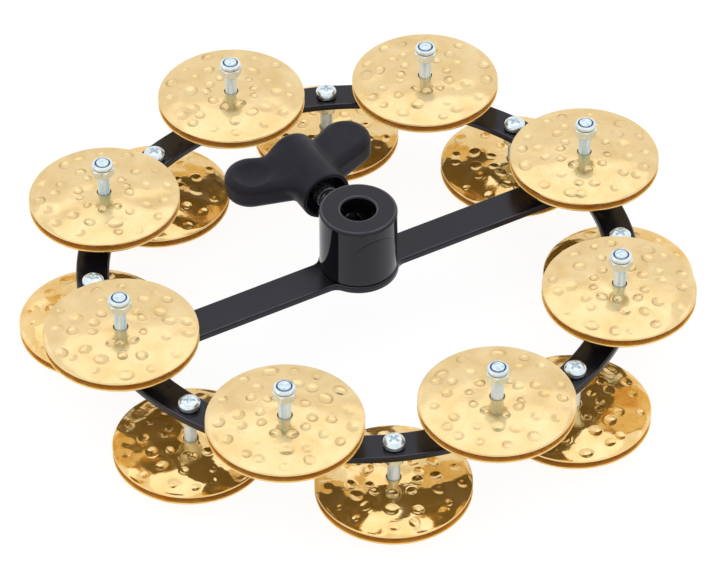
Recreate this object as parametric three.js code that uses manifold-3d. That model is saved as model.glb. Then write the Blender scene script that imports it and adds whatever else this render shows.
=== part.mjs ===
// Hi-hat tambourine: a flat steel ring with a cross bar, a clamping hub in its middle,
// and pairs of hammered jingles that slide on bolts above and below the ring.
// Millimetres, +Z up. The origin is on the hub's axis, level with the lower bolts' ends,
// on which the tambourine stands. +X runs along the cross bar, +Y to the wing knob.

import * as THREE from 'three';
import { mergeVertices } from 'three/addons/utils/BufferGeometryUtils.js';
import Module from 'manifold-3d';

// Frame plate: ring, cross bar and the eye under the hub
const PLATE_THICKNESS = 2.5;
const RING_INNER_RADIUS = 83.0;
const RING_WIDTH = 11.0;
const BAR_WIDTH = 12.7;
const BAR_END_FILLET = 4.0;
const EYE_MARGIN = 0.5; // plate that shows round the hub's foot
const EYE_FILLET = 4.0;
const PLATE_EDGE = 0.6; // bevel along the plate's edges

// Hub
const HUB_RADIUS = 13.0;
const HUB_HEIGHT = 23.3; // above the plate
const HUB_EDGE = 1.0; // rounding of the upper edge
const BORE_RADIUS = 5.75; // for the hi-hat's pull rod
const BORE_EDGE = 0.4;
const SPIGOT_WALL = 2.6; // of the foot that is swaged into the eye

// Clamp screw and wing knob
const CLAMP_HEIGHT = 12.8; // of the screw's axis above the plate
const CLAMP_SCREW_RADIUS = 4.0;
const SCREW_TIP_SETBACK = 0.5; // of the resting tip behind the bore's wall
const KNOB_STANDOFF = 8.3; // from the hub to the knob at rest
const KNOB_LENGTH = 27.1;
const BARREL_RADIUS = 8.8;
const BARREL_FRONT_EDGE = 0.5;
const BARREL_REAR_EDGE = 3.0;
const MOUTH_RADIUS = 7.5; // of the hollow in the barrel's front
const MOUTH_DEPTH = 5.0;
const SCREW_GRIP_LENGTH = 20.0; // of the screw inside the knob
const WING_TIP_ACROSS = 18.2; // from the screw's axis to the middle of a wing's round end
const WING_TIP_ALONG = 19.6; // from the knob's front to the same point
const WING_TIP_RADIUS = 8.9;
const WING_ROOT_ALONG = 12.1;
const WING_ROOT_RADIUS = 7.5;
const WING_THICKNESS = 9.6;
const WING_EDGE = 2.9;
const WING_TURN_DEGREES = 2.25; // how far the wings at rest stand from level
const THUMB_RADIUS = 6.3;
const THUMB_DEPTH = 1.3;
const THUMB_ACROSS = 17.9;
const THUMB_ALONG = 18.1;

// Jingle bolts, their clamp nuts and their lock nuts
const STATIONS_PER_SIDE = 8;
const BOLT_RADIUS = 2.0;
const BOLT_REACH = 23.9; // from the plate's face to the bolt's end
const HEAD_RADIUS = 3.6;
const HEAD_HEIGHT = 2.9;
const HEAD_EDGE = 0.8;
const NUT_FLATS = 7.0;
const NUT_HEIGHT = 3.2;
const LOCK_NUT_HEIGHT = 5.0;
const LOCK_HEX_HEIGHT = 3.4;
const COLLAR_RADIUS = 3.0; // of the round top that holds the nylon ring
const COLLAR_EDGE = 0.5;

// Jingles: thin domed discs in pairs, with hammer marks in three staggered rings
const JINGLE_RADIUS = 25.4;
const JINGLE_SHEET = 0.7;
const JINGLE_DOME = 2.0;
const RIM_GAP = 2.0; // between the two rims of a pair
const MARKS_PER_RING = 8;
const INNER_MARKS_RADIUS = 8.5;
const MIDDLE_MARKS_RADIUS = 15.5;
const OUTER_MARKS_RADIUS = 22.0;

// Clearances
const SEAT_GAP = 0.3; // between faces that sit on each other
const HOLE_GAP = 0.3; // round a bolt, spigot or screw in its hole
const JINGLE_PLAY = 0.5; // round a bolt in a jingle's hole

// Facets
const RING_STEPS = 64;
const FILLET_STEPS = 4;
const HUB_STEPS = 32;
const EDGE_STEPS = 2;
const BARREL_STEPS = 24;
const WING_END_STEPS = 8;
const SMALL_HOLE_STEPS = 10;
const BOLT_STEPS = 10;
const THUMB_STEPS = 16;
const SAME_POINT = 0.001;
const CUT_MARGIN = 1.0; // a cutter's reach past the faces that it opens

// Places that follow from the sizes
const STATION_RADIUS = RING_INNER_RADIUS + RING_WIDTH / 2;
const PLATE_UNDERSIDE = BOLT_REACH;
const PLATE_TOP = PLATE_UNDERSIDE + PLATE_THICKNESS;
const SPIGOT_RADIUS = BORE_RADIUS + SPIGOT_WALL;
const EYE_RADIUS = HUB_RADIUS + EYE_MARGIN;
const KNOB_FRONT = HUB_RADIUS + KNOB_STANDOFF;
const KNOB_REAR = KNOB_FRONT + KNOB_LENGTH;
const SCREW_TIP = BORE_RADIUS + SCREW_TIP_SETBACK;
const SCREW_END = KNOB_FRONT + SCREW_GRIP_LENGTH;
const WING_TURN = THREE.MathUtils.degToRad(WING_TURN_DEGREES);
const JINGLE_HOLE_RADIUS = BOLT_RADIUS + JINGLE_PLAY;
const PAIR_RIM_HEIGHT = 2 * JINGLE_SHEET + RIM_GAP;
const STATION_TURN = (2 * Math.PI) / STATIONS_PER_SIDE;

const wasm = await Module();
wasm.setup();

// Closed geometry to a solid that can be joined and cut
function solidOf(geometry) {
  const bare = new THREE.BufferGeometry();
  bare.setAttribute('position', geometry.getAttribute('position'));
  bare.setIndex(geometry.index);
  const merged = mergeVertices(bare, SAME_POINT);
  const vertProperties = new Float32Array(merged.attributes.position.array);
  const triVerts = new Uint32Array(merged.index.array);
  return new wasm.Manifold(new wasm.Mesh({ numProp: 3, vertProperties, triVerts }));
}

// The joined or cut solid back to a geometry with flat faces
function geometryOf(solid) {
  const mesh = solid.getMesh();
  const shared = new THREE.BufferGeometry();
  shared.setAttribute('position', new THREE.BufferAttribute(mesh.vertProperties, mesh.numProp));
  shared.setIndex(new THREE.BufferAttribute(mesh.triVerts, 1));
  const geometry = shared.toNonIndexed();
  geometry.computeVertexNormals();
  return geometry;
}

// Points along an arc, both ends among them
function arc(centreX, centreY, radius, from, to, steps) {
  const points = [];
  for (let i = 0; i <= steps; i += 1) {
    const angle = from + ((to - from) * i) / steps;
    const x = centreX + radius * Math.cos(angle);
    const y = centreY + radius * Math.sin(angle);
    points.push(new THREE.Vector2(x, y));
  }
  return points;
}

// A closed outline without the points that lie on their successor
function outline(points) {
  return points.filter((point, i) => {
    const next = points[(i + 1) % points.length];
    return point.distanceTo(next) > SAME_POINT;
  });
}

// A turned piece about Z from its profile of radius and height
function turned(profile, steps) {
  const points = profile.map(([radius, height]) => new THREE.Vector2(radius, height));
  return new THREE.LatheGeometry(points, steps).rotateX(Math.PI / 2);
}

// An upright round or hexagonal bar between two heights
function bar(radius, bottom, top, sides) {
  const height = top - bottom;
  const geometry = new THREE.CylinderGeometry(radius, radius, height, sides);
  return geometry.rotateX(Math.PI / 2).translate(0, 0, bottom + height / 2);
}

// Half of the ring's opening, between the cross bar, the eye and the ring
function windowPoints() {
  const half = BAR_WIDTH / 2;
  const cornerY = half + BAR_END_FILLET;
  const cornerReach = RING_INNER_RADIUS - BAR_END_FILLET;
  const cornerX = Math.sqrt(cornerReach ** 2 - cornerY ** 2);
  const cornerAngle = Math.asin(cornerY / cornerReach);
  const flareY = half + EYE_FILLET;
  const flareReach = EYE_RADIUS + EYE_FILLET;
  const flareX = Math.sqrt(flareReach ** 2 - flareY ** 2);
  const flareAngle = Math.asin(flareY / flareReach);
  const halfTurn = Math.PI;
  const down = -Math.PI / 2;
  return outline([
    ...arc(0, 0, RING_INNER_RADIUS, cornerAngle, halfTurn - cornerAngle, RING_STEPS / 2),
    ...arc(-cornerX, cornerY, BAR_END_FILLET, halfTurn - cornerAngle, down + 2 * Math.PI, FILLET_STEPS),
    ...arc(-flareX, flareY, EYE_FILLET, down, -flareAngle, FILLET_STEPS),
    ...arc(0, 0, EYE_RADIUS, halfTurn - flareAngle, flareAngle, 2 * FILLET_STEPS),
    ...arc(flareX, flareY, EYE_FILLET, halfTurn + flareAngle, down + 2 * Math.PI, FILLET_STEPS),
    ...arc(cornerX, cornerY, BAR_END_FILLET, down, cornerAngle, FILLET_STEPS),
  ]);
}

// Ring, cross bar and eye in one plate, drilled for the hub's spigot and the bolts
function framePlate() {
  const outer = arc(0, 0, RING_INNER_RADIUS + RING_WIDTH, 0, 2 * Math.PI, RING_STEPS);
  const shape = new THREE.Shape(outline(outer));
  const opening = windowPoints();
  const opposite = opening.map((point) => point.clone().negate());
  shape.holes.push(new THREE.Path(opening), new THREE.Path(opposite));
  const blank = new THREE.ExtrudeGeometry(shape, {
    depth: PLATE_THICKNESS - 2 * PLATE_EDGE,
    bevelThickness: PLATE_EDGE,
    bevelSize: PLATE_EDGE,
    bevelOffset: -PLATE_EDGE,
    bevelSegments: 1,
  });
  let plate = solidOf(blank.translate(0, 0, PLATE_UNDERSIDE + PLATE_EDGE));
  const low = PLATE_UNDERSIDE - CUT_MARGIN;
  const high = PLATE_TOP + CUT_MARGIN;
  plate = plate.subtract(solidOf(bar(SPIGOT_RADIUS + HOLE_GAP, low, high, HUB_STEPS)));
  for (let i = 0; i < 2 * STATIONS_PER_SIDE; i += 1) {
    const drill = bar(BOLT_RADIUS + HOLE_GAP, low, high, SMALL_HOLE_STEPS);
    drill.translate(STATION_RADIUS, 0, 0).rotateZ((i * STATION_TURN) / 2);
    plate = plate.subtract(solidOf(drill));
  }
  return geometryOf(plate);
}

// Collar on the eye: bore for the pull rod, spigot below, threaded hole to the side
function hub() {
  const foot = PLATE_TOP + SEAT_GAP;
  const top = PLATE_TOP + HUB_HEIGHT;
  const roundX = HUB_RADIUS - HUB_EDGE;
  const rounding = arc(roundX, top - HUB_EDGE, HUB_EDGE, 0, Math.PI / 2, EDGE_STEPS);
  const collar = turned(
    [
      [BORE_RADIUS, PLATE_UNDERSIDE],
      [SPIGOT_RADIUS, PLATE_UNDERSIDE],
      [SPIGOT_RADIUS, foot],
      [HUB_RADIUS, foot],
      ...rounding.map((point) => [point.x, point.y]),
      [BORE_RADIUS + BORE_EDGE, top],
      [BORE_RADIUS, top - BORE_EDGE],
      [BORE_RADIUS, PLATE_UNDERSIDE],
    ],
    HUB_STEPS,
  );
  const holeRadius = CLAMP_SCREW_RADIUS + HOLE_GAP;
  const holeLength = HUB_RADIUS + CUT_MARGIN;
  const hole = new THREE.CylinderGeometry(holeRadius, holeRadius, holeLength, BARREL_STEPS);
  hole.translate(0, holeLength / 2, PLATE_TOP + CLAMP_HEIGHT);
  return geometryOf(solidOf(collar).subtract(solidOf(hole)));
}

// Threaded rod that grips the pull rod; it is drawn at its thread's outer size
function clampScrew() {
  const length = SCREW_END - SCREW_TIP;
  const radius = CLAMP_SCREW_RADIUS;
  const rod = new THREE.CylinderGeometry(radius, radius, length, BARREL_STEPS);
  return rod.translate(0, SCREW_TIP + length / 2, 0);
}

// Flat wing on the +X side of the barrel: a round end and the tangents to a smaller root circle
function wing() {
  const rise = WING_TIP_ALONG - WING_ROOT_ALONG;
  const span = Math.hypot(WING_TIP_ACROSS, rise);
  const heading = Math.atan2(rise, WING_TIP_ACROSS);
  const half = Math.PI / 2 + Math.asin((WING_TIP_RADIUS - WING_ROOT_RADIUS) / span);
  const rest = 2 * Math.PI - half;
  const tipY = KNOB_FRONT + WING_TIP_ALONG;
  const rootY = KNOB_FRONT + WING_ROOT_ALONG;
  const steps = WING_END_STEPS;
  const points = [
    ...arc(WING_TIP_ACROSS, tipY, WING_TIP_RADIUS, heading - half, heading + half, steps),
    ...arc(0, rootY, WING_ROOT_RADIUS, heading + half, heading + rest, steps),
  ];
  const depth = WING_THICKNESS - 2 * WING_EDGE;
  const plate = new THREE.ExtrudeGeometry(new THREE.Shape(outline(points)), {
    depth,
    bevelThickness: WING_EDGE,
    bevelSize: WING_EDGE,
    bevelOffset: -WING_EDGE,
    bevelSegments: EDGE_STEPS,
  });
  return plate.translate(0, 0, -depth / 2);
}

// Ball that presses a thumb recess into a wing's face, on the given side and face
function thumbBall(side, face) {
  const ballRadius = (THUMB_RADIUS ** 2 + THUMB_DEPTH ** 2) / (2 * THUMB_DEPTH);
  const ball = new THREE.SphereGeometry(ballRadius, 2 * THUMB_STEPS, THUMB_STEPS);
  const height = WING_THICKNESS / 2 - THUMB_DEPTH + ballRadius;
  return ball.translate(side * THUMB_ACROSS, KNOB_FRONT + THUMB_ALONG, face * height);
}

// Round hole along the screw's axis, from before the knob's front to the given depth
function knobHole(radius, depth) {
  const length = depth + CUT_MARGIN;
  const hole = new THREE.CylinderGeometry(radius, radius, length, BARREL_STEPS);
  return hole.translate(0, KNOB_FRONT - CUT_MARGIN + length / 2, 0);
}

// Moulded knob round the screw's end: a barrel with a hollow front and two wings
function wingKnob() {
  const frontX = BARREL_RADIUS - BARREL_FRONT_EDGE;
  const rearX = BARREL_RADIUS - BARREL_REAR_EDGE;
  const rearY = KNOB_REAR - BARREL_REAR_EDGE;
  const rounding = arc(rearX, rearY, BARREL_REAR_EDGE, 0, Math.PI / 2, EDGE_STEPS);
  const profile = [
    new THREE.Vector2(0, KNOB_FRONT),
    new THREE.Vector2(frontX, KNOB_FRONT),
    new THREE.Vector2(BARREL_RADIUS, KNOB_FRONT + BARREL_FRONT_EDGE),
    ...rounding,
    new THREE.Vector2(0, KNOB_REAR),
  ];
  const holeDepth = SCREW_GRIP_LENGTH + SEAT_GAP;
  const knob = solidOf(new THREE.LatheGeometry(profile, BARREL_STEPS))
    .add(solidOf(wing()))
    .add(solidOf(wing().rotateY(Math.PI)))
    .subtract(solidOf(knobHole(CLAMP_SCREW_RADIUS + HOLE_GAP, holeDepth)))
    .subtract(solidOf(knobHole(MOUTH_RADIUS, MOUTH_DEPTH)))
    .subtract(solidOf(thumbBall(-1, 1)))
    .subtract(solidOf(thumbBall(1, -1)));
  return geometryOf(knob);
}

// Lock nut from its bearing face up: a hexagon and a round collar
function lockNutSolid() {
  const cornerRadius = NUT_FLATS / Math.sqrt(3);
  const hexagon = bar(cornerRadius, 0, LOCK_HEX_HEIGHT, 6);
  const collar = turned(
    [
      [0, LOCK_HEX_HEIGHT / 2],
      [COLLAR_RADIUS, LOCK_HEX_HEIGHT / 2],
      [COLLAR_RADIUS, LOCK_NUT_HEIGHT - COLLAR_EDGE],
      [COLLAR_RADIUS - COLLAR_EDGE, LOCK_NUT_HEIGHT],
      [0, LOCK_NUT_HEIGHT],
    ],
    BOLT_STEPS,
  );
  return solidOf(hexagon).add(solidOf(collar));
}

// Lock nut with its hole, for the upper bolts
function lockNut() {
  const low = -CUT_MARGIN;
  const high = LOCK_NUT_HEIGHT + CUT_MARGIN;
  const hole = bar(BOLT_RADIUS + HOLE_GAP, low, high, SMALL_HOLE_STEPS);
  return geometryOf(lockNutSolid().subtract(solidOf(hole)));
}

// Bolt and its clamp nut as clamped on the plate, whose near face is at height 0
function jingleBoltSolid() {
  const headTop = -PLATE_THICKNESS - SEAT_GAP;
  const headBottom = headTop - HEAD_HEIGHT;
  const screw = turned(
    [
      [0, headBottom],
      [HEAD_RADIUS - HEAD_EDGE, headBottom],
      [HEAD_RADIUS, headBottom + HEAD_EDGE],
      [HEAD_RADIUS, headTop],
      [BOLT_RADIUS, headTop],
      [BOLT_RADIUS, BOLT_REACH],
      [0, BOLT_REACH],
    ],
    BOLT_STEPS,
  );
  const nut = bar(NUT_FLATS / Math.sqrt(3), SEAT_GAP, SEAT_GAP + NUT_HEIGHT, 6);
  return solidOf(screw).add(solidOf(nut));
}

// Upper bolt, whose lock nut is a piece of its own
function upperBolt() {
  return geometryOf(jingleBoltSolid());
}

// Lower bolt in one with its lock nut
function lowerBolt() {
  const nut = lockNutSolid().translate([0, 0, BOLT_REACH - LOCK_NUT_HEIGHT]);
  return geometryOf(jingleBoltSolid().add(nut));
}

// Height of a jingle's outer face above its rim, without hammer marks
function domeHeight(radius) {
  return JINGLE_DOME * (1 - (radius / JINGLE_RADIUS) ** 2);
}

// The marks of a pair's two discs nearly meet where the outer rings face each other
function markDepth() {
  const gap = RIM_GAP + 2 * domeHeight(OUTER_MARKS_RADIUS);
  return (gap - SEAT_GAP) / 2;
}

// Jingle disc with its dome up and its outer face's rim at height 0
function jingle() {
  const rings = [
    JINGLE_HOLE_RADIUS,
    INNER_MARKS_RADIUS,
    MIDDLE_MARKS_RADIUS,
    OUTER_MARKS_RADIUS,
    JINGLE_RADIUS,
  ];
  const last = rings.length - 1;
  const sectors = 2 * MARKS_PER_RING;
  const positions = [];
  const indices = [];
  const facing = [0, -JINGLE_SHEET];
  facing.forEach((offset) => {
    rings.forEach((radius, ring) => {
      const marked = ring > 0 && ring < last;
      for (let i = 0; i < sectors; i += 1) {
        const angle = (2 * Math.PI * i) / sectors;
        const dip = marked && (i + ring) % 2 === 0 ? markDepth() : 0;
        const height = domeHeight(radius) - dip + offset;
        positions.push(radius * Math.cos(angle), radius * Math.sin(angle), height);
      }
    });
  });
  const at = (face, ring, i) => (face * rings.length + ring) * sectors + (i % sectors);
  const quad = (a, b, c, d) => indices.push(a, b, c, a, c, d);
  for (let i = 0; i < sectors; i += 1) {
    for (let ring = 0; ring < last; ring += 1) {
      quad(at(0, ring, i), at(0, ring + 1, i), at(0, ring + 1, i + 1), at(0, ring, i + 1));
      quad(at(1, ring, i), at(1, ring, i + 1), at(1, ring + 1, i + 1), at(1, ring + 1, i));
    }
    quad(at(0, 0, i), at(0, 0, i + 1), at(1, 0, i + 1), at(1, 0, i));
    quad(at(0, last, i + 1), at(0, last, i), at(1, last, i), at(1, last, i + 1));
  }
  const shared = new THREE.BufferGeometry();
  shared.setAttribute('position', new THREE.Float32BufferAttribute(positions, 3));
  shared.setIndex(indices);
  const geometry = shared.toNonIndexed();
  geometry.computeVertexNormals();
  return geometry;
}

const coatedSteel = new THREE.MeshStandardMaterial({ color: '#1b1b1e', roughness: 0.4 });
const glossCoat = new THREE.MeshStandardMaterial({ color: '#141416', roughness: 0.2 });
const darkSteel = new THREE.MeshStandardMaterial({ color: '#3a3b3e', roughness: 0.4, metalness: 1 });
const softGrip = new THREE.MeshStandardMaterial({ color: '#26262a', roughness: 0.7 });
const zincSteel = new THREE.MeshStandardMaterial({ color: '#c4cbd0', roughness: 0.3, metalness: 1 });
const brass = new THREE.MeshStandardMaterial({ color: '#e0b765', roughness: 0.25, metalness: 1 });

const tambourine = new THREE.Group();

function addPiece(name, geometry, material, parent, height = 0, radius = 0) {
  const mesh = new THREE.Mesh(geometry, material);
  mesh.name = name;
  mesh.position.set(radius, 0, height);
  parent.add(mesh);
  return mesh;
}

// Two discs of a pair, the lower one just above the nut that carries the pair
function addPair(prefix, station, group, nutTop, disc) {
  const lowRim = nutTop + SEAT_GAP + domeHeight(JINGLE_HOLE_RADIUS);
  const low = addPiece(`${prefix}_jingle_${station}_low`, disc, brass, group, lowRim, STATION_RADIUS);
  low.rotation.x = Math.PI;
  const highRim = lowRim + PAIR_RIM_HEIGHT;
  addPiece(`${prefix}_jingle_${station}_high`, disc, brass, group, highRim, STATION_RADIUS);
}

function addFrame() {
  const clampHeight = PLATE_TOP + CLAMP_HEIGHT;
  addPiece('frame_plate', framePlate(), coatedSteel, tambourine);
  addPiece('hub', hub(), glossCoat, tambourine);
  addPiece('clamp_screw', clampScrew(), darkSteel, tambourine, clampHeight);
  const knob = addPiece('wing_knob', wingKnob(), softGrip, tambourine, clampHeight);
  knob.rotation.y = -WING_TURN;
}

// Stations above the ring: bolt heads below, jingles and lock nuts above
function addUpperStations(disc) {
  const bolt = upperBolt();
  const nut = lockNut();
  const nutHeight = PLATE_TOP + BOLT_REACH - LOCK_NUT_HEIGHT;
  const clampNutTop = PLATE_TOP + SEAT_GAP + NUT_HEIGHT;
  for (let i = 0; i < STATIONS_PER_SIDE; i += 1) {
    const station = i + 1;
    const group = new THREE.Group();
    group.rotation.z = i * STATION_TURN;
    addPiece(`upper_bolt_${station}`, bolt, zincSteel, group, PLATE_TOP, STATION_RADIUS);
    addPiece(`upper_lock_nut_${station}`, nut, zincSteel, group, nutHeight, STATION_RADIUS);
    addPair('upper', station, group, clampNutTop, disc);
    tambourine.add(group);
  }
}

// Stations below the ring, halfway between the upper ones: heads above, jingles below
function addLowerStations(disc) {
  const bolt = lowerBolt();
  for (let i = 0; i < STATIONS_PER_SIDE; i += 1) {
    const station = i + 1;
    const group = new THREE.Group();
    group.rotation.z = (i + 1 / 2) * STATION_TURN;
    const piece = addPiece(
      `lower_bolt_${station}`, bolt, zincSteel, group, PLATE_UNDERSIDE, STATION_RADIUS,
    );
    piece.rotation.x = Math.PI;
    addPair('lower', station, group, LOCK_NUT_HEIGHT, disc);
    tambourine.add(group);
  }
}

const disc = jingle();
addFrame();
addUpperStations(disc);
addLowerStations(disc);

export default tambourine;
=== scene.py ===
"""Hi-hat tambourine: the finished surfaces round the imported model.

Metres, +Z up. The origin is on the hub's axis, level with the lower bolts' ends.
Every finished piece stands where its solid stands and moves with that solid's body.
"""

import cmath
import math

import bmesh
import bpy
import numpy as np
from mathutils import Matrix, Vector
from mathutils.geometry import tessellate_polygon


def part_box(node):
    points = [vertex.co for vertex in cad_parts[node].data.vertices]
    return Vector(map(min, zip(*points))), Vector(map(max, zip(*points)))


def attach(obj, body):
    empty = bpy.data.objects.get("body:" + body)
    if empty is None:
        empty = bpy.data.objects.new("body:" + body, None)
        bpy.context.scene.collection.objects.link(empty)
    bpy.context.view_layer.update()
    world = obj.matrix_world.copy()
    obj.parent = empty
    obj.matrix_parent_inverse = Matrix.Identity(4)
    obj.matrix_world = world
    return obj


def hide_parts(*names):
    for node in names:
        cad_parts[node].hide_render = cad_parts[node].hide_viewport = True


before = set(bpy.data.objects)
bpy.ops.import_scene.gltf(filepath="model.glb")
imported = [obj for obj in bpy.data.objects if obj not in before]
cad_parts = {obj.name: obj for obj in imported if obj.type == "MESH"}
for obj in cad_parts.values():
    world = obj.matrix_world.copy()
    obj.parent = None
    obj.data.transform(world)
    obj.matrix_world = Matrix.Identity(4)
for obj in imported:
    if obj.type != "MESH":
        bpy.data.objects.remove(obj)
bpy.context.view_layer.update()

MM = 0.001
TAU = 2 * math.pi
RANDOM_SEED = 11
SIDES = ("upper", "lower")
STATIONS = range(1, 9)

# The photograph's view: the lens axis meets the ring's top face at the aim
IMAGE_WIDTH = 716
CAMERA_AZIMUTH = math.radians(-29.755)
CAMERA_ELEVATION = math.radians(41.896)
CAMERA_ROLL = math.radians(-0.085)
CAMERA_DISTANCE = 1294.8 * MM
CAMERA_AIM = (-7.2 * MM, -12.3 * MM)
CAMERA_FOCAL_PIXELS = 3916.5
SENSOR_WIDTH = 36.0

# Frame plate
RING_WIDTH = 11.0 * MM
BAR_WIDTH = 12.7 * MM
BAR_END_FILLET = 4.0 * MM
EYE_MARGIN = 0.5 * MM
EYE_FILLET = 4.0 * MM
PLATE_EDGE = 0.6 * MM
DRILLED_EDGE = 0.15 * MM

# Hub and its round sticker
BORE_RADIUS = 5.75 * MM
BORE_EDGE = 0.9 * MM
HUB_EDGE = 1.0 * MM
HUB_FOOT_EDGE = 0.3 * MM
HUB_FOOT_GAP = 0.3 * MM
SPIGOT_RADIUS = 8.35 * MM
STICKER_RADIUS = 8.9 * MM
STICKER_FILM = 0.12 * MM
STICKER_TURN = math.radians(-90.5)  # of its middle round the hub, from +X
STICKER_HEIGHT = 9.9 * MM  # of its middle above the hub's foot

# Clamp screw and wing knob
CLAMP_PITCH = 1.25 * MM
CLAMP_THREAD_DEPTH = 0.5 * MM
CLAMP_THREAD_RADIUS = 3.7 * MM
CLAMP_END_BEVEL = 0.5 * MM
SHOULDER_FROM_FRONT = 1.0 * MM  # how far the metal shoulder stands out of the knob
SHOULDER_EDGE = 0.5 * MM
BARREL_LENGTH = 27.1 * MM
BARREL_FRONT_EDGE = 0.4 * MM
BARREL_REAR_EDGE = 3.1 * MM
BARREL_RADIUS = 8.8 * MM
KNOB_HOLE_RADIUS = 4.3 * MM
KNOB_HOLE_DEPTH = 20.3 * MM
MOUTH_RADIUS = 7.5 * MM
MOUTH_DEPTH = 5.0 * MM
WING_TIP_ACROSS = 18.2 * MM
WING_TIP_ALONG = 19.6 * MM
WING_TIP_RADIUS = 8.85 * MM
WING_ROOT_ALONG = 12.1 * MM
WING_ROOT_RADIUS = 7.5 * MM
WING_THICKNESS = 9.6 * MM
WING_EDGE = 2.95 * MM
WING_TURN = math.radians(2.25)
WIDE_BLEND = 4.5 * MM
TIGHT_BLEND = 0.9 * MM
THUMB_RADIUS = 6.3 * MM
THUMB_DEPTH = 1.9 * MM
THUMB_ACROSS = 17.9 * MM
THUMB_ALONG = 18.1 * MM
THUMB_BLEND = 0.5 * MM
HOLLOW_BLEND = 0.4 * MM
BLEND_RUN = 8.0 * MM
KNOB_MARGIN = 1.5 * MM  # of the grid that the knob is sampled on
KNOB_CELL = 0.45 * MM
KNOB_STEPS = 6  # that move the knob's points onto its surface

# Bolts, clamp nuts and lock nuts
BOLT_RADIUS = 2.1 * MM
BOLT_END_BEVEL = 0.14 * MM
BOLT_PITCH = 0.7 * MM
BOLT_THREAD_DEPTH = 0.05 * MM
THREAD_ROWS = 8  # to a turn
GROOVE_GAIN = 1.25
GROOVE_SHIFT = 0.1
END_SLOPE = 1.2  # of a thread's bevelled ends
HEAD_RADIUS = 3.6 * MM
HEAD_HEIGHT = 2.9 * MM
HEAD_CROWN = 0.25 * MM
HEAD_FACE = 0.72  # of the head's radius
HEAD_RIM_HEIGHT = 1.15 * MM
HEAD_EDGES = (1.6 * MM, 0.7 * MM, 0.2 * MM)  # of the face, the rim and the bearing face
CROSS_REACH = 2.1 * MM
CROSS_MARGIN = 0.2 * MM
CROSS_WIDTH = 0.85 * MM
CROSS_DEPTH = 1.3 * MM
CROSS_SIDE_RUN = 0.18 * MM
CROSS_END_RUN = 0.7 * MM
CROSS_ARM_DEPTH = 0.8  # of the depth in the middle
CROSS_CENTRE_RADIUS = 1.15 * MM
SEAT_GAP = 0.3 * MM
NUT_FLATS = 7.0 * MM
NUT_HEIGHT = 3.2 * MM
NUT_CHAMFER_RADIUS = 3.35 * MM
NUT_CHAMFER_RISE = 0.45 * MM
NUT_BORE_RADIUS = BOLT_RADIUS - BOLT_THREAD_DEPTH / 2
NUT_BORE_BEVEL = 0.3 * MM
NUT_COLUMNS = 96
CORNER_SHARPNESS = 40
CHAMFER_REACH = 1.02  # of the distance to the corners
LOCK_NUT_HEIGHT = 5.0 * MM
LOCK_HEX_HEIGHT = 2.5 * MM
COLLAR_RADIUS = 3.48 * MM
COLLAR_TOP = 4.75 * MM
COLLAR_CROWN = 0.55 * MM
COLLAR_EDGE = 0.4 * MM
COLLAR_LIP_RADIUS = 2.62 * MM
COLLAR_LIP_EDGE = 0.12 * MM
FINE_EDGE = 0.05 * MM  # of the seam and the nylon
SEAM_HEIGHT = 0.28 * MM  # of the groove between hexagon and collar
SEAM_DEPTH = 0.3 * MM
NYLON_TOP = 4.5 * MM
NYLON_HEIGHT = 0.9 * MM
NYLON_SAG = 0.12 * MM  # of its outer edge
NYLON_SEAT = 0.4 * MM  # from the nylon's top down to the collar's inside

# Jingles
JINGLE_RADIUS = 25.37 * MM
JINGLE_SHEET = 0.7 * MM
JINGLE_DOME = 2.0 * MM
RIM_GAP = 2.0 * MM  # between the two rims of a pair
JINGLE_HOLE_RADIUS = 2.38 * MM
JINGLE_RIM_EDGE = 0.22 * MM
JINGLE_VARIANTS = 6  # on each side of the ring
VARIANT_STEP = {"low": 2, "high": 5}  # so that neighbours differ
JINGLE_COLUMNS = 264
OUTER_ROWS = 50
INNER_ROWS = 24
WAVE_COUNT = 9
WAVE_LENGTH = (7.0 * MM, 16.0 * MM)
WARP_LENGTH = 10 * MM
WAVE_FADE = (2.0 * MM, 1.5 * MM)  # from the hole and from the rim
WARP = {"upper": 0.035 * MM, "lower": 0.09 * MM}  # highest waves of the warp's length
CRISPNESS = {"upper": (0.95, 0.55, 0.5), "lower": (1.0, 0.85, 0.6)}  # of each ring of dents
DENT_RINGS = (  # how many dents, how far out, how much that varies, how wide
    (10, 8.4 * MM, 0.7 * MM, (1.3 * MM, 1.75 * MM)),
    (12, 14.8 * MM, 1.6 * MM, (1.5 * MM, 2.2 * MM)),
    (15, 21.0 * MM, 1.0 * MM, (1.4 * MM, 2.1 * MM)),
)
DENT_STRAY = 0.34  # of the space between two
DENT_DEPTH = (0.28 * MM, 0.6 * MM)
DENT_SHALLOW = 0.45  # share of the depth that the softest dents keep
DENT_FALLOFF = 2.2  # of the softest dents
DENT_STRETCH = (-0.12, 0.3)
CRISPNESS_SPREAD = (-0.45, 0.4)
DENT_LIP = {"upper": 0.05 * MM, "lower": 0.09 * MM}
LIP_PLACE = 1.12  # of a dent's radius
LIP_WIDTH = 0.13
# Painted shade: dark arcs at the dents' edges, darkest on one side, stand in for the self-shadow and dark
# reflections in the dents.
DENT_SHADE = "painted_dent_shade"  # name of the mesh's value that paints shade on the dents' edges
DENT_SHADE_PLACE = 0.95  # of a dent's radius
DENT_SHADE_WIDTH = 0.15
DENT_SHADE_LEAST = 0.25  # on the paler side of a dent
PAIR_TILT = math.radians(0.5)

# Mesh resolution
FILLET_STEPS = 5
SUPPORT = 0.06 * MM  # from a rounded edge to the point that keeps the flat beside it flat
WELD = 0.0001 * MM
SHARP = math.radians(40)
EDGE_FACING = (0.75, 0.99)  # how far up or down the faces of a rounded edge look that get the painted highlight

# Materials and studio
COAT_TINT = (0.90, 0.87, 1.0, 1)  # the black surfaces gleam with a faint violet cast
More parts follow.
